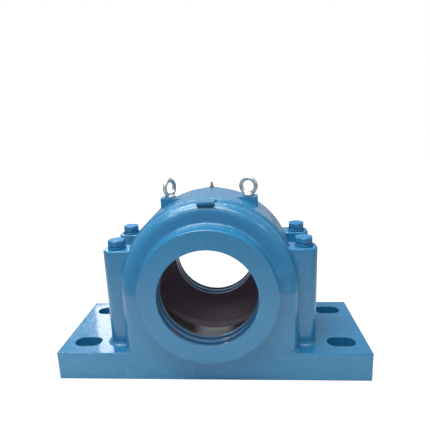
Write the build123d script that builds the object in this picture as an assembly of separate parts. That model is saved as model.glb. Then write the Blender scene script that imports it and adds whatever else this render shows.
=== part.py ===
from build123d import *
import os
from math import asin, cos, hypot, pi, radians, sin, sqrt, tan

# Split plummer block housing, empty of bearing and shaft. Sizes are in millimetres.
# Frame: origin at the centre of the foot's underside, +Z up, the shaft line along Y,
# and the long side of the foot along X.

# Foot
foot_length = 700
foot_width = 252
foot_height = 65
foot_corner_radius = 4
foot_edge_radius = 2
slot_length = 64
slot_width = 38
slot_spacing_x = 585
slot_spacing_y = 155

# Body: barrel, rounded shoulders, end walls and the two collars round the shaft opening
centre_height = 205
barrel_radius = 197
barrel_half_width = 71
barrel_edge_radius = 2
shoulder_radius = 192
shoulder_rounding = 24
end_wall_y = foot_width / 2
end_wall_lean = 7.5
collar_radius = 148
collar_face_y = 152
collar_blend = 7
collar_edge_radius = 2

# Bore, from each mouth inwards
shaft_opening_radius = 106
outer_land = 6
seal_groove_width = 9
seal_groove_depth = 6
middle_land = 11
throat_y = 109
mouth_chamfer = 1
throat_radius = 128
cavity_radius = 175
cavity_half_width = 76
seat_radius = 172
seat_half_width = 43

# The four bolt columns
bolt_x = 208
bolt_y = 61.5
column_side_x = 236
column_front_y = 91
column_back_y = 37
column_height = 86
column_front_radius = 20
column_back_radius = 18
column_edge_radius = 3
column_cove = 8
cove_sink = 0.3
column_blend = 6
foot_blend = 9

# Cap bolts and their spring washers
bolt_radius = 12
bolt_hole_radius = 13
bolt_engagement = 49
bolt_hole_depth = 55
bolt_head_flats = 36
bolt_head_height = 15
bolt_tip_chamfer = 2
washer_height = 5
washer_radius = 20
washer_gap = 3.5
bolt_turn = {"front_left": 34, "front_right": 24, "rear_left": 47, "rear_right": 22}

# Lifting eye bolts and the bosses that carry them
eye_x = 91
eye_boss_top = 392
eye_boss_inner_x = 52
eye_boss_outer_x = 112
eye_boss_half_width = 16
eye_boss_edge = 4
eye_ring_radius = 17.5
eye_wire_radius = 5
eye_height = 45
eye_collar_radius = 12.5
eye_collar_height = 6
eye_neck_radius = 6
eye_neck_height = 9
eye_shank_radius = 5
eye_shank_length = 17
eye_turn = {"left": 62, "right": -20}

# Grease nipple, the pads over both end walls, and the locating pins of the joint
pad_top = {"front": 400, "rear": 397}
pad_end_y = 105
pad_root_width = 45
pad_end_width = 35
pad_lip = 5
pad_underside_slope = 30
nipple_y = 91
nipple_hex_flats = 11
nipple_hex_height = 5.5
nipple_height = 15.5
nipple_thread_radius = 4.9
nipple_thread_length = 8
nipple_bore_radius = 2
nipple_lip = 0.8
nipple_outlet_radius = 1.2
nipple_seat_radius = 1.4
nipple_ball_radius = 1.8
nipple_spring_radius = 1.4
nipple_wire_radius = 0.4
nipple_spring_turns = 5
grease_hole_radius = 2.5
dowel_radius = 6
dowel_length = 40
dowel_x = 174
dowel_y = 96

sides = {"left": -1, "right": 1}
ends = {"front": -1, "rear": 1}
corners = {f"{end}_{side}": (sides[side], ends[end]) for end in ends for side in sides}
cap_top = centre_height + column_height


def about_bore(profile):
    """Revolve a half section, drawn in XY with the shaft line on Y, about the raised shaft line."""
    return Pos(0, 0, centre_height) * revolve(profile, Axis.Y)


def below_joint(shape):
    size = 2 * foot_length
    return shape & Pos(0, 0, centre_height) * Box(size, size, size, align=(Align.CENTER, Align.CENTER, Align.MAX))


def above_joint(shape):
    size = 2 * foot_length
    return shape & Pos(0, 0, centre_height) * Box(size, size, size, align=(Align.CENTER, Align.CENTER, Align.MIN))


def in_all_quarters(quarter):
    half = quarter + mirror(quarter, Plane.XZ)
    return half + mirror(half, Plane.YZ)


def cove_points(height, sink=0):
    """Plan points, at a height over the joint, of the cove between an end wall's corner and a column's front:
    the centre that the corner is rounded about, then the cove's start, middle and end."""
    side_x = sqrt(shoulder_radius ** 2 - height ** 2)
    wall_y = end_wall_y - height * tan(radians(end_wall_lean))
    corner = Vector(side_x - shoulder_rounding, wall_y - shoulder_rounding)
    reach = shoulder_rounding + column_cove
    turn = asin((column_front_y + column_cove - corner.Y) / reach)
    hub = corner + Vector(reach * cos(turn) - sink, reach * sin(turn))
    half_turn = (turn + pi / 2) / 2
    start = hub - Vector(cos(turn), sin(turn)) * column_cove
    middle = hub - Vector(cos(half_turn), sin(half_turn)) * column_cove
    end = Vector(hub.X, column_front_y)
    return corner, start, middle, end


def rounded_column(plan):
    """Round the two outer corners of a bolt column in plan."""
    front = plan.vertices().sort_by_distance((column_side_x, column_front_y))[0]
    plan = fillet(front, column_front_radius)
    back = plan.vertices().sort_by_distance((column_side_x, column_back_y))[0]
    return fillet(back, column_back_radius)


def quarter_plan():
    """Plan of a quarter of the lower body: end wall, rounded corner, cove, bolt column, side wall."""
    corner, start, middle, end = cove_points(0)
    half_turn = (pi / 2 + asin((start.Y - corner.Y) / shoulder_rounding)) / 2
    corner_middle = corner + Vector(cos(half_turn), sin(half_turn)) * shoulder_rounding
    outline = [
        Polyline((0, 0), (0, end_wall_y), (corner.X, end_wall_y)),
        ThreePointArc((corner.X, end_wall_y), corner_middle, start),
        ThreePointArc(start, middle, end),
        Polyline(end, (column_side_x, column_front_y), (column_side_x, column_back_y),
                 (barrel_radius, column_back_y), (barrel_radius, 0), (0, 0)),
    ]
    plan = rounded_column(make_face(outline))
    root = plan.vertices().sort_by_distance((barrel_radius, column_back_y))[0]
    return fillet(root, column_blend)


def body_plan():
    return in_all_quarters(quarter_plan())


def collar(keep):
    """Both collars round the shaft opening, as one turned drum that the joint cuts in two."""
    drum = Pos(0, 0, centre_height) * Rot(X=90) * Cylinder(collar_radius, 2 * collar_face_y)
    rims = drum.edges().filter_by(GeomType.CIRCLE)
    return keep(fillet(rims, collar_edge_radius))


def foot_plate():
    plate = Box(foot_length, foot_width, foot_height, align=(Align.CENTER, Align.CENTER, Align.MIN))
    plate = fillet(plate.edges().filter_by(Axis.Z), foot_corner_radius)
    return fillet(plate.faces().sort_by(Axis.Z)[-1].edges(), foot_edge_radius)


def foot_and_lower_body():
    """The foot with the body standing on it and a cast blend all round the body's root."""
    rise = centre_height - foot_height
    slab = Box(foot_length, 2 * foot_width, foot_height, align=(Align.CENTER, Align.CENTER, Align.MIN))
    body = slab + Pos(0, 0, foot_height) * extrude(body_plan(), rise)
    root = [e for e in body.edges() if abs(e.center().Z - foot_height) < 0.01 and abs(e.center().X) < column_side_x + 1]
    body = fillet(root, foot_blend)
    wall = Box(2 * shoulder_radius, foot_width, centre_height, align=(Align.CENTER, Align.CENTER, Align.MIN))
    upper = Box(foot_length, foot_width, rise, align=(Align.CENTER, Align.CENTER, Align.MIN))
    return body & (foot_plate() + wall + Pos(0, 0, foot_height) * upper)


def column_plan(height):
    """Plan of a cap column and its cove at a height over the joint, reaching in to the shoulder's corner."""
    corner, start, middle, end = cove_points(height, cove_sink)
    outline = [
        ThreePointArc(end, middle, start),
        Polyline(start, corner, (corner.X, column_back_y), (column_side_x, column_back_y),
                 (column_side_x, column_front_y), end),
    ]
    return Pos(0, 0, centre_height + height) * rounded_column(make_face(outline))


def cap_columns():
    """The cap's four bolt columns, from the joint to their machined tops, with coves that follow the shoulders."""
    column = loft([column_plan(height) for height in (0, column_height / 2, column_height)])
    inside_x = shoulder_radius - shoulder_rounding
    top = column.faces().sort_by(Axis.Z)[-1]
    rim = [edge for edge in top.edges() if edge.center().X > inside_x or edge.center().Y > column_front_y]
    return in_all_quarters(fillet(rim, column_edge_radius))


def shoulders():
    """The cap's half drum between its leaning end walls, with both rims rounded over."""
    lean = shoulder_radius * tan(radians(end_wall_lean))
    profile = Polyline((-end_wall_y, 0), (end_wall_y, 0), (end_wall_y - lean, shoulder_radius),
                       (lean - end_wall_y, shoulder_radius), close=True)
    wedge = extrude(Plane.YZ * make_face(profile), shoulder_radius, both=True)
    drum = Rot(X=90) * Cylinder(shoulder_radius, 2 * end_wall_y) & wedge
    rims = drum.edges().filter_by(GeomType.ELLIPSE)
    return Pos(0, 0, centre_height) * fillet(rims, shoulder_rounding)


def barrel_band():
    """The raised band of the barrel, whose edges run down to the shoulders in a soft step."""
    step = barrel_radius - shoulder_radius
    root = step - barrel_edge_radius
    foot_y = barrel_half_width + root
    crest_y = barrel_half_width - barrel_edge_radius
    half = [
        Line((seat_radius, 0), (seat_radius, foot_y)),
        Line((seat_radius, foot_y), (shoulder_radius, foot_y)),
        RadiusArc((shoulder_radius, foot_y), (shoulder_radius + root, barrel_half_width), root),
        RadiusArc((shoulder_radius + root, barrel_half_width), (barrel_radius, crest_y), -barrel_edge_radius),
        Line((barrel_radius, crest_y), (barrel_radius, 0)),
        Line((barrel_radius, 0), (seat_radius, 0)),
    ]
    profile = make_face(half)
    return about_bore(profile + mirror(profile, Plane.XZ))


def blended_cap():
    """Shoulders and bolt columns in one, with a cast blend at the columns' backs and tops."""
    cap = shoulders() + cap_columns()

    def at_root(point):
        in_drum = hypot(point.X, point.Z - centre_height) < shoulder_radius + 0.01
        return in_drum and min(abs(abs(point.Y) - column_back_y), abs(point.Z - cap_top)) < 0.01

    roots = [edge for edge in cap.edges() if all(at_root(edge @ t) for t in (0, 0.5, 1))]
    return fillet(roots, column_blend)


def eye_boss(side):
    """The short block on the barrel that an eye bolt screws into."""
    size_x = eye_boss_outer_x - eye_boss_inner_x
    block = Box(size_x, 2 * eye_boss_half_width, eye_boss_top - cap_top, align=(Align.MIN, Align.CENTER, Align.MIN))
    block = Pos(eye_boss_inner_x, 0, cap_top) * block
    uprights = block.edges().filter_by(Axis.Z).group_by(Axis.X)[-1]
    block = fillet(uprights, eye_boss_edge)
    return block if side > 0 else mirror(block, Plane.YZ)


def nipple_pad(end):
    """The small flat pad over each end wall, widest at the barrel, its underside falling back to the wall."""
    root_y = barrel_half_width - 4
    plan = Polyline((-pad_root_width / 2, root_y), (pad_root_width / 2, root_y),
                    (pad_end_width / 2, pad_end_y), (-pad_end_width / 2, pad_end_y), close=True)
    top = pad_top[end]
    fall = (pad_end_y - root_y) * tan(radians(pad_underside_slope))
    side = Polyline((root_y, top), (pad_end_y, top), (pad_end_y, top - pad_lip),
                    (root_y, top - pad_lip - fall), close=True)
    pad = extrude(make_face(plan), 2 * top) & extrude(Plane.YZ * make_face(side), pad_root_width, both=True)
    return pad if end == "rear" else mirror(pad, Plane.XZ)


def bore():
    """What is turned out of both halves: mouths, seal grooves, throats, cavity and bearing seat."""
    groove = shaft_opening_radius + seal_groove_depth
    first = collar_face_y - outer_land
    second = first - seal_groove_width - middle_land
    steps = [
        (0, 0), (seat_radius, 0), (seat_radius, seat_half_width), (cavity_radius, seat_half_width + 3),
        (cavity_radius, cavity_half_width), (throat_radius, throat_y), (shaft_opening_radius, throat_y),
        (shaft_opening_radius, second - seal_groove_width), (groove, second - seal_groove_width), (groove, second),
        (shaft_opening_radius, second), (shaft_opening_radius, first - seal_groove_width),
        (groove, first - seal_groove_width), (groove, first), (shaft_opening_radius, first),
        (shaft_opening_radius, collar_face_y - mouth_chamfer), (shaft_opening_radius + mouth_chamfer, collar_face_y),
        (shaft_opening_radius + mouth_chamfer, collar_face_y + 1), (0, collar_face_y + 1),
    ]
    profile = make_face(Polyline(*steps, close=True))
    return about_bore(profile + mirror(profile, Plane.XZ))


def drilled(radius, bottom, top, x, y):
    return Pos(x, y, bottom) * Cylinder(radius, top - bottom, align=(Align.CENTER, Align.CENTER, Align.MIN))


def dowel_spots():
    return [(-dowel_x, -dowel_y), (dowel_x, dowel_y)]


def collar_root(casting):
    """The edges where the collars stand on the end walls."""
    def at_root(point):
        on_collar = abs(hypot(point.X, point.Z - centre_height) - collar_radius) < 0.01
        return on_collar and abs(point.Y) < end_wall_y + 0.01

    return [edge for edge in casting.edges() if all(at_root(edge @ t) for t in (0, 0.5, 1))]


def housing_base():
    casting = foot_and_lower_body() + collar(below_joint)
    casting = fillet(collar_root(casting), collar_blend)
    casting -= bore()
    for x, y in corners.values():
        slot = SlotOverall(slot_length, slot_width)
        casting -= extrude(Pos(x * slot_spacing_x / 2, y * slot_spacing_y / 2) * slot, foot_height)
        casting -= drilled(bolt_radius, centre_height - bolt_hole_depth, centre_height, x * bolt_x, y * bolt_y)
    for x, y in dowel_spots():
        casting -= drilled(dowel_radius, centre_height - dowel_length / 2, centre_height, x, y)
    return casting


def housing_cap():
    casting = blended_cap() + collar(above_joint)
    casting = fillet(collar_root(casting), collar_blend)
    casting += above_joint(barrel_band())
    for side in sides.values():
        casting += eye_boss(side)
    for end in ends:
        casting += nipple_pad(end)
    casting -= bore()
    for x, y in corners.values():
        casting -= drilled(bolt_hole_radius, centre_height, cap_top, x * bolt_x, y * bolt_y)
    for x, y in dowel_spots():
        casting -= drilled(dowel_radius, centre_height, centre_height + dowel_length / 2, x, y)
    for side in sides.values():
        casting -= drilled(eye_shank_radius, eye_boss_top - eye_shank_length - 3, eye_boss_top, side * eye_x, 0)
    nipple_face = pad_top["rear"]
    casting -= drilled(nipple_thread_radius, nipple_face - nipple_thread_length - 1, nipple_face, 0, nipple_y)
    casting -= drilled(grease_hole_radius, centre_height + shaft_opening_radius - 1, nipple_face, 0, nipple_y)
    return casting


def standing_cylinder(radius, height, z=0):
    return Pos(0, 0, z) * Cylinder(radius, height, align=(Align.CENTER, Align.CENTER, Align.MIN))


def cap_bolt(turn):
    """A hexagon head bolt whose seat is at z = 0, with the corners of its head turned off."""
    corner = bolt_head_flats / sqrt(3)
    bevel = (corner - bolt_head_flats / 2 * 0.95) * tan(radians(30))
    hexagon = extrude(RegularPolygon(bolt_head_flats / 2, 6, major_radius=False), bolt_head_height)
    blank = standing_cylinder(corner, bolt_head_height)
    blank = chamfer(blank.edges().sort_by(Axis.Z)[-1], bevel, bevel / tan(radians(30)))
    length = washer_height + column_height + bolt_engagement
    shank = standing_cylinder(bolt_radius, length + 1, -length)
    shank = chamfer(shank.edges().sort_by(Axis.Z)[0], bolt_tip_chamfer)
    return Rot(Z=turn) * ((hexagon & blank) + shank)


def spring_washer(turn):
    """A split ring of square wire, pressed flat under the bolt head."""
    ring = standing_cylinder(washer_radius, washer_height) - standing_cylinder(bolt_hole_radius, washer_height)
    slit = Pos(washer_radius, 0, washer_height / 2) * Rot(X=20) * Box(2 * washer_radius, washer_gap, 3 * washer_height)
    return Rot(Z=turn) * (ring - slit)


def eye_bolt():
    """A forged lifting eye on its seat at z = 0: ring, neck and collar above, plain shank below."""
    ring_z = eye_height - eye_ring_radius - eye_wire_radius
    ring = Pos(0, 0, ring_z) * Rot(X=90) * Torus(eye_ring_radius, eye_wire_radius)
    profile = Polyline((0, 0), (eye_collar_radius - 1, 0), (eye_collar_radius, 1),
                       (eye_collar_radius, eye_collar_height - 2), (eye_neck_radius, eye_neck_height),
                       (0, eye_neck_height), close=True)
    foot = revolve(Plane.XZ * make_face(profile), Axis.Z)
    return ring + foot + standing_cylinder(eye_shank_radius, eye_shank_length + 1, -eye_shank_length)


def nipple_body():
    """A straight grease nipple on its seat at z = 0: hexagon, waisted head and hollow thread."""
    head_profile = Polyline((0, 0), (3.4, 0), (3.4, nipple_hex_height + 2.4), (2.3, nipple_hex_height + 4.4),
                            (2.3, nipple_height - 4), (3.25, nipple_height - 2.6), (3.25, nipple_height - 1.4),
                            (2.1, nipple_height), (0, nipple_height), close=True)
    head = revolve(Plane.XZ * make_face(head_profile), Axis.Z)
    hexagon = extrude(RegularPolygon(nipple_hex_flats / 2, 6, major_radius=False), nipple_hex_height)
    thread = standing_cylinder(nipple_thread_radius, nipple_thread_length, -nipple_thread_length)
    seat_z = nipple_height - nipple_ball_radius
    lip_top = nipple_lip - nipple_thread_length
    way = standing_cylinder(nipple_bore_radius, seat_z - lip_top, lip_top)
    mouth = standing_cylinder(nipple_seat_radius, nipple_height)
    outlet = standing_cylinder(nipple_outlet_radius, nipple_thread_length, -nipple_thread_length)
    return head + hexagon + thread - way - mouth - outlet


def nipple_ball_z():
    """Height of the ball's centre, where the ball bears on the edge of the nipple's mouth."""
    seat_z = nipple_height - nipple_ball_radius
    return seat_z - sqrt(nipple_ball_radius ** 2 - nipple_seat_radius ** 2)


def nipple_spring():
    """The coil that presses the ball up, from the lip at the foot of the nipple's bore to the ball."""
    bottom = nipple_lip + nipple_wire_radius - nipple_thread_length
    top = nipple_ball_z() - sqrt((nipple_ball_radius + nipple_wire_radius) ** 2 - nipple_spring_radius ** 2)
    pitch = (top - bottom) / nipple_spring_turns
    path = Helix(pitch, pitch / 4, nipple_spring_radius)
    section = Plane(origin=path @ 0, z_dir=path % 0) * Circle(nipple_wire_radius)
    quarter_turn = sweep(section, path)
    rises = [Pos(0, 0, bottom + i * pitch / 4) * Rot(Z=90 * i) for i in range(4 * nipple_spring_turns)]
    first, *others = [rise * quarter_turn for rise in rises]
    return first.fuse(*others)


def dowel_pin():
    pin = Cylinder(dowel_radius, dowel_length)
    return chamfer(pin.edges().filter_by(GeomType.CIRCLE), 1)


def all_nodes():
    """Every piece of the housing under the name of its node, at its place in the assembly."""
    nodes = {"housing_base": housing_base(), "housing_cap": housing_cap()}
    for corner, (x, y) in corners.items():
        seat = Pos(x * bolt_x, y * bolt_y, cap_top)
        nodes[f"spring_washer_{corner}"] = seat * spring_washer(bolt_turn[corner] * 5)
        nodes[f"cap_bolt_{corner}"] = seat * Pos(0, 0, washer_height) * cap_bolt(bolt_turn[corner])
    for side, x in sides.items():
        nodes[f"eye_bolt_{side}"] = Pos(x * eye_x, 0, eye_boss_top) * Rot(Z=eye_turn[side]) * eye_bolt()
    nipple_seat = Pos(0, nipple_y, pad_top["rear"])
    nodes["grease_nipple_body"] = nipple_seat * nipple_body()
    nodes["grease_nipple_ball"] = nipple_seat * Pos(0, 0, nipple_ball_z()) * Sphere(nipple_ball_radius)
    nodes["grease_nipple_spring"] = nipple_seat * nipple_spring()
    for side, (x, y) in zip(sides, dowel_spots()):
        nodes[f"dowel_pin_{side}"] = Pos(x, y, centre_height) * dowel_pin()
    return nodes


os.makedirs("parts", exist_ok=True)
for name, piece in all_nodes().items():
    export_step(piece, f"parts/{name}.step")
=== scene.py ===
import math

import bmesh
import bpy
from mathutils import Matrix, Vector


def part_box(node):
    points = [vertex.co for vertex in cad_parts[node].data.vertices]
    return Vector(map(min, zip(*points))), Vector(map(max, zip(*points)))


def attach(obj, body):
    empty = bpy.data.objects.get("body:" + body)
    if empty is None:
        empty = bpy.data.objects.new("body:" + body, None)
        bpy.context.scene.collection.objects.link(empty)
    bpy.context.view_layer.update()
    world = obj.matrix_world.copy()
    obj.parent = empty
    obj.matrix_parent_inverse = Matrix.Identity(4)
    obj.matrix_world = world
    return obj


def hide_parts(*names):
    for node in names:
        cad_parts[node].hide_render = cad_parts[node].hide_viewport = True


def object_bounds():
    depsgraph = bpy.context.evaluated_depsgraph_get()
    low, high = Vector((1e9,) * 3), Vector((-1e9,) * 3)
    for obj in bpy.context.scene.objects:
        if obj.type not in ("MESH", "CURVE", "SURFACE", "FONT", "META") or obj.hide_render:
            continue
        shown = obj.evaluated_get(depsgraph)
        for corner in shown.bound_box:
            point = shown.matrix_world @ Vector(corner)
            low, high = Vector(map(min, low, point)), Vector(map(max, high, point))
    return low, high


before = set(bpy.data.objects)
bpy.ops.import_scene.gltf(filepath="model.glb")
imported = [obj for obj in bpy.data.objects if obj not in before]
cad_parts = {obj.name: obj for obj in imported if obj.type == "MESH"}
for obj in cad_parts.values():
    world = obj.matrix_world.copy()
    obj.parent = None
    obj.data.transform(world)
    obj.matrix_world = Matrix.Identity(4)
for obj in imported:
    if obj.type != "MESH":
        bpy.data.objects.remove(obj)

cad_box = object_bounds()


# ---------------------------------------------------------------- housing base
# The lower casting carries everything: a slotted foot, the body round the bearing space
# and the lower half of both collars. It is grey iron, sand cast, machined on its foot,
# joint and bore, dipped in dark primer inside and sprayed outside with blue enamel.

joint_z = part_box("housing_base")[1].z
collar_face_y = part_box("housing_base")[1].y
opening_radius = 0.106
groove_radius = 0.112
throat_y = 0.109
throat_radius = 0.128
cavity_radius = 0.175
cavity_half_width = 0.076
seat_radius = 0.172
seat_half_width = 0.043
# The patch of painted reflection on the seat: its half width across, and the height below which it lies.
reflection_half_width = 0.06
reflection_below_z = 0.06
foot_height = 0.065
casting_edge = 0.0016


def srgb(*levels):
    """A colour written as a screen shows it, 0 to 255, in linear values."""
    shares = [level / 255 for level in levels]
    linear = [((share + 0.055) / 1.055) ** 2.4 if share > 0.04 else share / 12.92 for share in shares]
    return (*linear, 1.0)


class Shade:
    """One output in a material's tree. Arithmetic on it adds Math nodes, and node() adds any other."""

    def __init__(self, tree, socket=None):
        self.tree = tree
        self.socket = socket

    def node(self, kind, settings=None, inputs=None, output=0):
        made = self.tree.nodes.new("ShaderNode" + kind)
        for name, value in (settings or {}).items():
            setattr(made, name, value)
        for name, value in (inputs or {}).items():
            if isinstance(value, Shade):
                self.tree.links.new(value.socket, made.inputs[name])
            else:
                made.inputs[name].default_value = value
        return Shade(self.tree, made.outputs[output] if made.outputs else None)

    def math(self, operation, *values):
        return self.node("Math", {"operation": operation}, dict(enumerate(values)))

    def __add__(self, other):
        return self.math("ADD", self, other)

    def __sub__(self, other):
        return self.math("SUBTRACT", self, other)

    def __rsub__(self, other):
        return self.math("SUBTRACT", other, self)

    def __mul__(self, other):
        return self.math("MULTIPLY", self, other)

    def __pow__(self, other):
        return self.math("POWER", self, other)

    def __lt__(self, other):
        return self.math("LESS_THAN", self, other)

    def __gt__(self, other):
        return self.math("GREATER_THAN", self, other)

    def __abs__(self):
        return self.math("ABSOLUTE", self)

    __radd__ = __add__
    __rmul__ = __mul__

    def least(self, other):
        return self.math("MINIMUM", self, other)

    def most(self, other):
        return self.math("MAXIMUM", self, other)

    def rise(self, low, high):
        """0 up to low, 1 from high on, and a soft step between."""
        limits = {"Value": self, "From Min": low, "From Max": high}
        return self.node("MapRange", {"interpolation_type": "SMOOTHSTEP"}, limits)

    def mix(self, without, with_it):
        """The first colour where this is 0, the second where it is 1."""
        return self.node("Mix", {"data_type": "RGBA"}, {0: self, 6: without, 7: with_it}, 2)

    def noise(self, size, detail=2.0, roughness=0.5):
        """Noise at this point from 0 to 1, with features about size metres across."""
        inputs = {"Vector": self, "Scale": 1 / size, "Detail": detail, "Roughness": roughness}
        return self.node("TexNoise", {}, inputs)

    def stretched(self, x, y, z):
        """This point with its axes scaled."""
        return self.node("VectorMath", {"operation": "MULTIPLY"}, {0: self, 1: (x, y, z)})

    def axes(self):
        return [self.node("SeparateXYZ", {}, {0: self}, axis) for axis in range(3)]

    def bump(self, under=None):
        """The normal of a surface raised by this height in metres, over another normal if one is given."""
        inputs = {"Height": self, "Distance": 1.0}
        if under is not None:
            inputs["Normal"] = under
        return self.node("Bump", {}, inputs)


def blank_material(name):
    """A new material, and the handle from which its nodes are made."""
    material = bpy.data.materials.new(name)
    material.use_nodes = True
    material.node_tree.nodes.clear()
    return material, Shade(material.node_tree)


def edges(shade, rounding):
    """A normal that rounds the sharp edges off, and how much of an edge each point is, 0 to 1."""
    rounded = shade.node("Bevel", {"samples": 6}, {"Radius": rounding})
    flat = shade.node("NewGeometry", {}, {}, "Normal")
    agreement = shade.node("VectorMath", {"operation": "DOT_PRODUCT"}, {0: rounded, 1: flat}, 1)
    return rounded, (1 - agreement).rise(0.01, 0.12)


def close_material(shade, colour, roughness, metallic, normal, coat=0.0, coat_roughness=0.1):
    """The surface that ends a material's tree, with a clear coat if it has one."""
    inputs = {"Base Color": colour, "Roughness": roughness, "Metallic": metallic, "Normal": normal}
    inputs["Coat Weight"] = coat
    inputs["Coat Roughness"] = coat_roughness
    surface = shade.node("BsdfPrincipled", {}, inputs)
    shade.node("OutputMaterial", {}, {"Surface": surface})


def dress(piece, material, smooth=True):
    """Puts one material on a new piece."""
    piece.data.materials.clear()
    piece.data.materials.append(material)
    for polygon in piece.data.polygons:
        polygon.use_smooth = smooth
    return piece


def housing_finish():
    """Enamel outside, machined lands at the mouths, dark primer inside, and a painted reflection of the far
    opening on the seat's bottom.
    """
    material, shade = blank_material("housing_finish")
    point = shade.node("TexCoord", {}, {}, "Object")
    x, y, z = point.axes()
    depth = abs(y)
    rise = z - joint_z
    radius = (x * x + rise * rise) ** 0.5

    # Where the surface belongs: cavity behind the throat, lands and grooves in front of it.
    # The margins keep each face whole on its own side of a limit.
    wall_margin = 0.0007
    face_margin = 0.0003
    slope = (cavity_radius - throat_radius) / (throat_y - cavity_half_width)
    cavity_wall = ((throat_y - depth) * slope + throat_radius).least(cavity_radius) + wall_margin
    in_cavity = (radius < cavity_wall) * (depth < throat_y + wall_margin)
    in_mouth = (radius < groove_radius + wall_margin) * (1 - in_cavity)
    in_mouth = in_mouth * (depth < collar_face_y - face_margin).most(radius < opening_radius + face_margin)
    on_seat = (radius < seat_radius + wall_margin) * in_cavity * (depth < seat_half_width + face_margin)
    inside = in_cavity.most(in_mouth)
    on_foot = (z < foot_height + face_margin) * (z > foot_height - face_margin)
    bare = on_seat.most(z < face_margin)

    # Machined faces are flatter than the sand-cast skin between them.
    on_collar_face = depth.rise(collar_face_y - 0.003, collar_face_y - 0.001)
    cast = 1 - on_collar_face.most(inside)
    edge_normal, edge = edges(shade, casting_edge)

    # Blue enamel, a little uneven in thickness, with a painted highlight along the edges, where the paint also
    # thins.
    broad = point.noise(0.16, 2.0)
    mottle = point.noise(0.022, 3.0, 0.6)
    blue = broad.mix(srgb(26, 104, 152), srgb(38, 118, 166))
    blue = (mottle.rise(0.5, 0.8) * 0.3).mix(blue, srgb(66, 138, 182))
    blue = (edge * (mottle * 0.5 + 0.2)).mix(blue, srgb(104, 166, 204))
    joint_line = (1 - abs(rise).rise(0.0002, 0.001)) * (1 - inside) * mottle.rise(0.3, 0.55)
    blue = (joint_line * (0.4 - on_collar_face * 0.3)).mix(blue, srgb(26, 70, 108))

    # The spray thins inside the mouths, where oil has browned it; behind them is dark primer.
    oil = point.noise(0.03, 3.0, 0.6)
    thin_blue = (oil.rise(0.5, 0.72) * 0.6).mix(srgb(40, 98, 142), srgb(88, 78, 82))
    primer = oil.mix(srgb(134, 120, 144), srgb(148, 130, 138))
    colour = in_mouth.mix(in_cavity.mix(blue, primer), thin_blue)

    # Bare iron: turning marks round the seat, oil on its sides, and a painted reflection, near white and not
    # metallic, on its bottom.
    tool_marks = point.stretched(1, 60, 1).noise(0.05, 3.0, 0.7)
    painted_reflection = (1 - abs(x).rise(0.025, reflection_half_width)) * (z < reflection_below_z)
    iron = tool_marks.mix(srgb(84, 80, 82), srgb(112, 108, 110))
    iron = (oil.rise(0.4, 0.7) * 0.7).mix(iron, srgb(66, 56, 54))
    iron = painted_reflection.mix(iron, tool_marks.mix(srgb(226, 228, 234), srgb(250, 250, 252)))
    colour = bare.mix(colour, iron)
    metallic = bare * (1 - painted_reflection) * 0.5

    roughness = (mottle - 0.5) * 0.12 + 0.27 + in_mouth * 0.12 + in_cavity * 0.4
    roughness = roughness * (1 - bare) + bare * (tool_marks * 0.2 + 0.2)

    # Sand grain, the cast skin, slow waves in the enamel, and its dried crackle on the foot.
    grain = point.noise(0.0024, 2.0, 0.6) * (cast * 0.000012 + 0.000006)
    cast_skin = point.noise(0.009, 2.0, 0.55) * (cast * 0.0004 + 0.00004)
    waves = point.noise(0.035, 1.0) * (cast * 0.0006)
    crackle = point.noise(0.0045, 1.0) * (on_foot * 0.0005)
    height = grain + cast_skin + (waves + crackle) + tool_marks * bare * 0.00006
    coat = (1 - in_cavity) * 0.35
    close_material(shade, colour, roughness, metallic, height.bump(edge_normal), coat, 0.06)
    return material


def finish_node(name, material):
    """Puts one material on a CAD node, whose mesh stays as it is."""
    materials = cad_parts[name].data.materials
    materials.clear()
    materials.append(material)


housing_material = housing_finish()
finish_node("housing_base", housing_material)


# ---------------------------------------------------------------- housing cap
# The upper casting is the barrel between two rounded shoulders, with four bolt columns,
# two bosses for the lifting eyes and a small flat pad over each end. It lifts off to
# let the bearing in, and is sprayed together with the base, so the two share one coat.

finish_node("housing_cap", housing_material)


# ---------------------------------------------------------------- spring washers
# A split ring of square spring wire under each bolt head, pressed nearly flat when the
# bolt is tight. The washers were on when the housing was sprayed, so they are blue too.

corners = ["front_left", "front_right", "rear_left", "rear_right"]
bolt_turn = {"front_left": 34, "front_right": 24, "rear_left": 47, "rear_right": 22}
washer_section_width = 0.007
washer_section_rounding = 0.0009
washer_gap_angle = math.radians(8)
washer_set = 0.0004
washer_steps = 72
steel_edge = 0.0007


def enamelled_steel():
    """The same blue coat over rolled steel: smooth and thin, with a painted highlight on the corners."""
    material, shade = blank_material("enamelled_steel")
    point = shade.node("TexCoord", {}, {}, "Object")
    edge_normal, edge = edges(shade, steel_edge)
    mottle = point.noise(0.006, 3.0, 0.6)
    blue = mottle.mix(srgb(28, 102, 150), srgb(40, 116, 164))
    # A painted highlight on the corners, where the coat also thins.
    blue = (edge * (mottle * 0.5 + 0.2)).mix(blue, srgb(104, 166, 204))
    height = point.noise(0.005, 2.0) * 0.0004
    close_material(shade, blue, mottle * 0.12 + 0.42, 0.0, height.bump(edge_normal))
    return material


def new_piece(name, shape):
    """A mesh object made from a finished bmesh, with its normals facing out."""
    bmesh.ops.recalc_face_normals(shape, faces=shape.faces)
    mesh = bpy.data.meshes.new(name)
    shape.to_mesh(mesh)
    shape.free()
    piece = bpy.data.objects.new(name, mesh)
    bpy.context.scene.collection.objects.link(piece)
    return piece


def skin(shape, loops, ends=True):
    """Joins loops of vertices, each closed on itself, into one tube, with its ends closed or not."""
    count = len(loops[0])
    for one, two in zip(loops, loops[1:]):
        for step in range(count):
            after = (step + 1) % count
            shape.faces.new((one[step], one[after], two[after], two[step]))
    if ends:
        shape.faces.new(loops[0])
        shape.faces.new(loops[-1])


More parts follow.
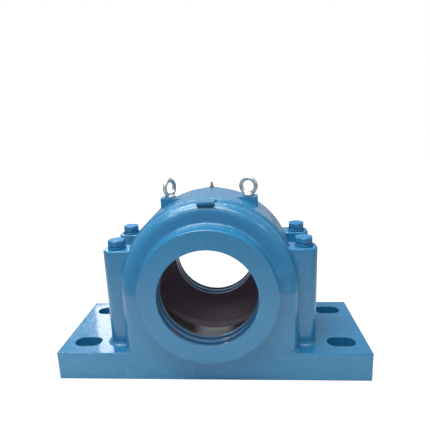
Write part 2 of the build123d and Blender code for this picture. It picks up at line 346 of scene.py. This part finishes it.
def rounded_rectangle(low, high, bottom, top, rounding, steps=4):
    """Points (across, up) round a rectangle with rounded corners."""
    low, high = low + rounding, high - rounding
    bottom, top = bottom + rounding, top - rounding
    points = []
    for across, up, start in ((high, top, 0), (low, top, 90), (low, bottom, 180), (high, bottom, 270)):
        for step in range(steps + 1):
            angle = math.radians(start + 90 * step / steps)
            points.append((across + rounding * math.cos(angle), up + rounding * math.sin(angle)))
    return points


def set_down(shape, low, high, seat, turn=0.0):
    """Turns a shape about its upright axis and stands it at this height on the axis of a box."""
    bmesh.ops.rotate(shape, verts=shape.verts, matrix=Matrix.Rotation(turn, 3, "Z"))
    place = ((low.x + high.x) / 2, (low.y + high.y) / 2, seat)
    bmesh.ops.translate(shape, verts=shape.verts, vec=place)


def spring_washer(corner):
    """Nearly one turn of square wire, its ends parted by the gap and a little out of level."""
    low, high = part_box(f"spring_washer_{corner}")
    outer = (high.x - low.x) / 2
    bottom, top = low.z + washer_set, high.z - washer_set
    section = rounded_rectangle(outer - washer_section_width, outer, bottom, top, washer_section_rounding)
    shape = bmesh.new()
    loops = []
    for step in range(washer_steps + 1):
        share = step / washer_steps
        angle = washer_gap_angle / 2 + share * (2 * math.pi - washer_gap_angle)
        across, along = math.cos(angle), math.sin(angle)
        lift = (share - 0.5) * 2 * washer_set * 0.9
        loops.append([shape.verts.new((r * across, r * along, z + lift)) for r, z in section])
    skin(shape, loops)
    set_down(shape, low, high, 0, math.radians(bolt_turn[corner] * 5))
    return new_piece(f"washer_{corner}", shape)


painted_steel = enamelled_steel()
for corner in corners:
    washer = dress(spring_washer(corner), painted_steel)
    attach(washer, "root")
    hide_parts(f"spring_washer_{corner}")


# ---------------------------------------------------------------- cap bolts
# Four hexagon head bolts clamp the cap to the base. Each head is forged, its corners
# turned off at 30 degrees, and it sits on a thin turned face; the thread is rolled.

head_flats = 0.036
head_height = 0.015
head_face_radius = 0.0171
shank_radius = 0.012
thread_pitch = 0.003
thread_depth = 0.0014
thread_length = 0.056
samples_per_pitch = 6
hexagon_sharpness = 22


def hexagon(angle, flats):
    """Radius of a hexagon with its corners a little rounded, at this angle."""
    facing = [math.cos(angle - math.radians(30 + 60 * side)) for side in range(6)]
    near = sum(max(0.0, share) ** hexagon_sharpness for share in facing)
    return flats / 2 / near ** (1 / hexagon_sharpness)


def turned_shape(rings, segments=96):
    """A closed skin through rings, each a function from an angle to (radius, height)."""
    shape = bmesh.new()
    loops = []
    for ring in rings:
        loop = []
        for step in range(segments):
            angle = 2 * math.pi * step / segments
            radius, height = ring(angle)
            loop.append(shape.verts.new((radius * math.cos(angle), radius * math.sin(angle), height)))
        loops.append(loop)
    skin(shape, loops)
    return shape


def circle(radius, height):
    return lambda angle: (radius, height)


def circles(profile):
    """One circle for each (radius, height) of a turned profile, in millimetres."""
    return [circle(radius / 1000, height / 1000) for radius, height in profile]


def bolt_rings(length):
    """From the tip of the thread up to the flat of the head, seated at height 0."""
    def thread(height):
        def ring(angle):
            phase = (height / thread_pitch - angle / (2 * math.pi)) % 1
            return shank_radius - thread_depth * (1 - abs(2 * phase - 1)), height
        return ring

    def head(inset, height):
        return lambda angle: (hexagon(angle, head_flats) - inset, height)

    def shoulder(inset, lower):
        def ring(angle):
            radius = hexagon(angle, head_flats)
            turned_off = (radius - head_face_radius) * math.tan(math.radians(30))
            return radius - inset, head_height - turned_off - lower
        return ring

    start = 0.001 - length
    samples = int(thread_length / thread_pitch * samples_per_pitch)
    rings = [circle(shank_radius - 0.002, -length), circle(shank_radius - thread_depth, start)]
    rings += [thread(start + thread_length * step / samples) for step in range(1, samples)]
    rings += [circle(shank_radius, start + thread_length + 0.002), circle(shank_radius, -0.0004)]
    rings += [circle(head_face_radius - 0.0006, 0)]
    rings += [circle(head_face_radius, 0.0002), circle(head_face_radius, 0.0006)]
    rings += [head(0.0007, 0.0006), head(0.0002, 0.0008), head(0, 0.0013)]
    rings += [shoulder(0, 0.0006), shoulder(0.0001, 0.0002), shoulder(0.0005, -0.0001)]
    rings += [circle(head_face_radius + 0.0003, head_height - 0.0002)]
    rings += [circle(head_face_radius - 0.0004, head_height)]
    rings += [circle(head_face_radius * share, head_height) for share in (0.8, 0.4)]
    return rings


for corner in corners:
    low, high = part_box(f"cap_bolt_{corner}")
    seat = high.z - head_height
    shape = turned_shape(bolt_rings(seat - low.z))
    set_down(shape, low, high, seat, math.radians(bolt_turn[corner]))
    bolt = dress(new_piece(f"bolt_{corner}", shape), painted_steel)
    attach(bolt, "root")
    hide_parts(f"cap_bolt_{corner}")


# ---------------------------------------------------------------- lifting eyes
# Two drop-forged eye bolts screw into the bosses on the barrel. Ring, neck and collar
# are one forging, bright zinc plated after the housing was painted.

eye_collar_radius = 0.0125
eye_wire_radius = 0.005
eye_ring_radius = 0.0175
eye_height = 0.045
eye_shank_radius = 0.0048
eye_ring_steps = 64
eye_wire_steps = 20
eye_voxel = 0.0004
eye_turn = {"left": 62, "right": -20}


def zinc_plate():
    """Bright zinc over a forged skin, a little uneven, darker where it was handled."""
    material, shade = blank_material("zinc_plate")
    point = shade.node("TexCoord", {}, {}, "Object")
    cloud = point.noise(0.012, 3.0, 0.6)
    grain = point.noise(0.0012, 2.0, 0.6)
    colour = cloud.rise(0.35, 0.7).mix(srgb(206, 208, 210), srgb(160, 164, 168))
    height = grain * 0.00003 + cloud * 0.0001
    close_material(shade, colour, cloud * 0.16 + 0.26, 0.85, height.bump())
    return material


def eye_ring():
    """The ring, upright in the XZ plane, with its wire's top at the height of the eye."""
    shape = bmesh.new()
    ring_z = eye_height - eye_ring_radius - eye_wire_radius
    loops = []
    for step in range(eye_ring_steps):
        around = 2 * math.pi * step / eye_ring_steps
        loop = []
        for part in range(eye_wire_steps):
            angle = 2 * math.pi * part / eye_wire_steps
            reach = eye_ring_radius + eye_wire_radius * math.cos(angle)
            across, up = reach * math.cos(around), reach * math.sin(around)
            loop.append(shape.verts.new((across, eye_wire_radius * math.sin(angle), ring_z + up)))
        loops.append(loop)
    skin(shape, loops + loops[:1], ends=False)
    return shape


def eye_bolt(side):
    """The forging: ring and stem joined, then worked over so that the neck flows into the ring."""
    low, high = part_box(f"eye_bolt_{side}")
    seat = high.z - eye_height
    length = seat - low.z
    forging = new_piece(f"eye_{side}", eye_ring())
    rings = [circle(0.0035, -length), circle(eye_shank_radius, 0.0012 - length), circle(eye_shank_radius, 0)]
    rings += [circle(eye_collar_radius - 0.001, 0), circle(eye_collar_radius, 0.001)]
    rings += [circle(eye_collar_radius, 0.004), circle(eye_collar_radius - 0.0015, 0.0056)]
    rings += circles([(7.5, 7.2), (6.2, 8.8), (3.0, 9.2)])
    stem = new_piece(f"stem_{side}", turned_shape(rings, 48))
    union = forging.modifiers.new("weld", "BOOLEAN")
    union.operation = "UNION"
    union.object = stem
    work = forging.modifiers.new("work", "REMESH")
    work.mode = "VOXEL"
    work.voxel_size = eye_voxel
    soften = forging.modifiers.new("soften", "SMOOTH")
    soften.factor = 0.5
    soften.iterations = 10
    bpy.context.view_layer.update()
    worked = forging.evaluated_get(bpy.context.evaluated_depsgraph_get())
    solid = bpy.data.meshes.new_from_object(worked)
    forging.modifiers.clear()
    forging.data = solid
    bpy.data.objects.remove(stem)
    foot = Matrix.Translation(((low.x + high.x) / 2, (low.y + high.y) / 2, seat))
    solid.transform(foot @ Matrix.Rotation(math.radians(eye_turn[side]), 4, "Z"))
    return forging


zinc = zinc_plate()
for side in eye_turn:
    eye = dress(eye_bolt(side), zinc)
    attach(eye, "root")
    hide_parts(f"eye_bolt_{side}")


# ---------------------------------------------------------------- grease nipple
# A straight nipple stands on the rear pad: a hexagon to turn it by, a waisted head for
# the gun's jaws, and a ball held up by a coil spring inside. It is dull plated steel.

def plain_steel(name, light, dark, roughness):
    """Steel without paint, clouded between a light and a dark grey."""
    material, shade = blank_material(name)
    point = shade.node("TexCoord", {}, {}, "Object")
    cloud = point.noise(0.004, 3.0, 0.6)
    colour = cloud.rise(0.3, 0.7).mix(light, dark)
    close_material(shade, colour, cloud * 0.2 + roughness, 0.9, (cloud * 0.00004).bump())
    return material


nipple_low, nipple_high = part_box("grease_nipple_body")
nipple_height = 0.0155
nipple_flats = 0.011
nipple_thread_radius = 0.0049
nipple_seat = nipple_high.z - nipple_height
nipple_tip = nipple_low.z - nipple_seat


def nipple_hexagon(inset, height):
    return lambda angle: (hexagon(angle, nipple_flats) - inset, height)


rings = [circle(nipple_thread_radius - 0.0004, nipple_tip), circle(nipple_thread_radius, nipple_tip + 0.0006)]
rings += [circle(nipple_thread_radius, 0), nipple_hexagon(0.0006, 0), nipple_hexagon(0, 0.0004)]
rings += [nipple_hexagon(0, 0.0048), nipple_hexagon(0.0007, 0.0055)]
rings += circles([(3.6, 5.6), (3.4, 6.2), (3.4, 7.9), (2.4, 9.8), (2.3, 11.5), (2.9, 12.5)])
rings += circles([(3.25, 13.0), (3.25, 14.1), (3.0, 14.7), (2.1, 15.5), (1.4, 15.5), (1.4, 14.0), (0.5, 13.9)])
shape = turned_shape(rings, 48)
set_down(shape, nipple_low, nipple_high, nipple_seat)
dull_steel = plain_steel("nipple_steel", srgb(126, 118, 108), srgb(78, 70, 62), 0.25)
nipple = dress(new_piece("nipple", shape), dull_steel)
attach(nipple, "root")
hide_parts("grease_nipple_body")

ground_steel = plain_steel("ground_steel", srgb(190, 190, 192), srgb(150, 150, 154), 0.15)
finish_node("grease_nipple_ball", ground_steel)
finish_node("grease_nipple_spring", ground_steel)


# ---------------------------------------------------------------- dowel pins
# Two ground pins cross the joint on a diagonal, so that the cap always comes back to the
# place in which the bore was turned. They are driven into the base and hidden by the cap.

finish_node("dowel_pin_left", ground_steel)
finish_node("dowel_pin_right", ground_steel)


# ---------------------------------------------------------------- floor, light and camera
# White paper near the block runs into a white backdrop. Two ceiling tubes and two small
# lamps give the highlights on the shoulders, two wide ones fill the top and the front, and
# a window high behind on the left glares on the foot. The lens stands a metre off.

floor_half = 4.0
floor_drop = 0.0002
paper_ends = 0.5
backdrop_begins = 1.1
white = (1, 1, 1, 1)


def white_floor():
    """Paper that takes the block's shadow close by, and glows white for the lens further out."""
    material, shade = blank_material("white_floor")
    seen = shade.node("LightPath", {}, {}, "Is Camera Ray")
    x, y, z = shade.node("TexCoord", {}, {}, "Object").axes()
    away = ((x * x + y * y) ** 0.5).rise(paper_ends, backdrop_begins)
    paper = shade.node("BsdfDiffuse", {}, {"Color": away.mix((0.9, 0.9, 0.9, 1), (0.5, 0.5, 0.5, 1))})
    glow = shade.node("Emission", {}, {"Color": white, "Strength": 1.3})
    surface = shade.node("MixShader", {}, {0: seen * (away * 0.3 + 0.7), 1: paper, 2: glow})
    shade.node("OutputMaterial", {}, {"Surface": surface})
    return material


floor_shape = bmesh.new()
bmesh.ops.create_grid(floor_shape, x_segments=1, y_segments=1, size=floor_half)
floor = dress(new_piece("floor", floor_shape), white_floor(), smooth=False)
floor.location.z = cad_box[0][2] - floor_drop


def soft_lamp(name, place, target, size, power, colour):
    """A rectangular lamp, its size across and up in metres and its power in watts."""
    data = bpy.data.lights.new(name, "AREA")
    data.shape = "RECTANGLE"
    data.size, data.size_y = size
    data.energy = power
    data.color = colour
    lamp = bpy.data.objects.new(name, data)
    lamp.location = place
    lamp.rotation_euler = (Vector(target) - Vector(place)).to_track_quat("-Z", "Y").to_euler()
    bpy.context.scene.collection.objects.link(lamp)


tube_light = (0.92, 1.0, 0.92)
day_light = (1.0, 0.97, 1.0)
soft_lamp("tube_front", (-0.31, -0.86, 2.21), (0, 0, 0.39), (2.4, 0.04), 26, tube_light)
soft_lamp("tube_back", (-0.31, 0.81, 2.15), (0, 0, 0.39), (2.4, 0.04), 12, tube_light)
soft_lamp("overhead", (-0.3, -0.1, 1.9), (0, 0, 0.2), (1.8, 1.2), 31, tube_light)
soft_lamp("front_high", (-0.3, -1.5, 1.6), (0, 0, 0.3), (1.6, 0.3), 4, tube_light)
soft_lamp("lamp_left", (-1.05, -0.98, 1.74), (0, 0, 0.35), (0.3, 0.15), 2, day_light)
soft_lamp("lamp_right", (1.28, -1.0, 1.53), (0, 0, 0.35), (0.3, 0.15), 2, day_light)
soft_lamp("window", (-1.22, 2.5, 1.48), (-0.265, 0, 0.065), (0.26, 0.45), 5, day_light)

world = bpy.data.worlds.new("surrounding")
bpy.context.scene.world = world
world.use_nodes = True
world.node_tree.nodes.clear()
sky = Shade(world.node_tree)
seen = sky.node("LightPath", {}, {}, "Is Camera Ray")
mirrored = sky.node("LightPath", {}, {}, "Is Glossy Ray")
around = sky.node("Background", {}, {"Color": (0.97, 0.96, 1, 1), "Strength": 0.27})
backdrop = sky.node("Background", {}, {"Color": white, "Strength": 1.0})
view = sky.node("MixShader", {}, {0: seen.most(mirrored * 0.3), 1: around, 2: backdrop})
sky.node("OutputWorld", {}, {"Surface": view})

lens_place = Vector((0.0769, -0.88857, 0.55743))
lens_down, lens_left, lens_roll = math.radians(13.26), math.radians(4.18), math.radians(-2.21)
ahead = Vector((-math.sin(lens_left), math.cos(lens_left), 0))
forward = math.cos(lens_down) * ahead - math.sin(lens_down) * Vector((0, 0, 1))
level = Vector((math.cos(lens_left), math.sin(lens_left), 0))
right = math.cos(lens_roll) * level + math.sin(lens_roll) * level.cross(forward)
camera_data = bpy.data.cameras.new("camera")
camera_data.sensor_width = 36
camera_data.lens = 32.77
camera_data.clip_start = 0.05
camera = bpy.data.objects.new("camera", camera_data)
lens_axes = Matrix((right, right.cross(forward), -forward)).transposed().to_4x4()
camera.matrix_world = Matrix.Translation(lens_place) @ lens_axes
bpy.context.scene.collection.objects.link(camera)
bpy.context.scene.camera = camera
bpy.context.scene.view_settings.view_transform = "Standard"
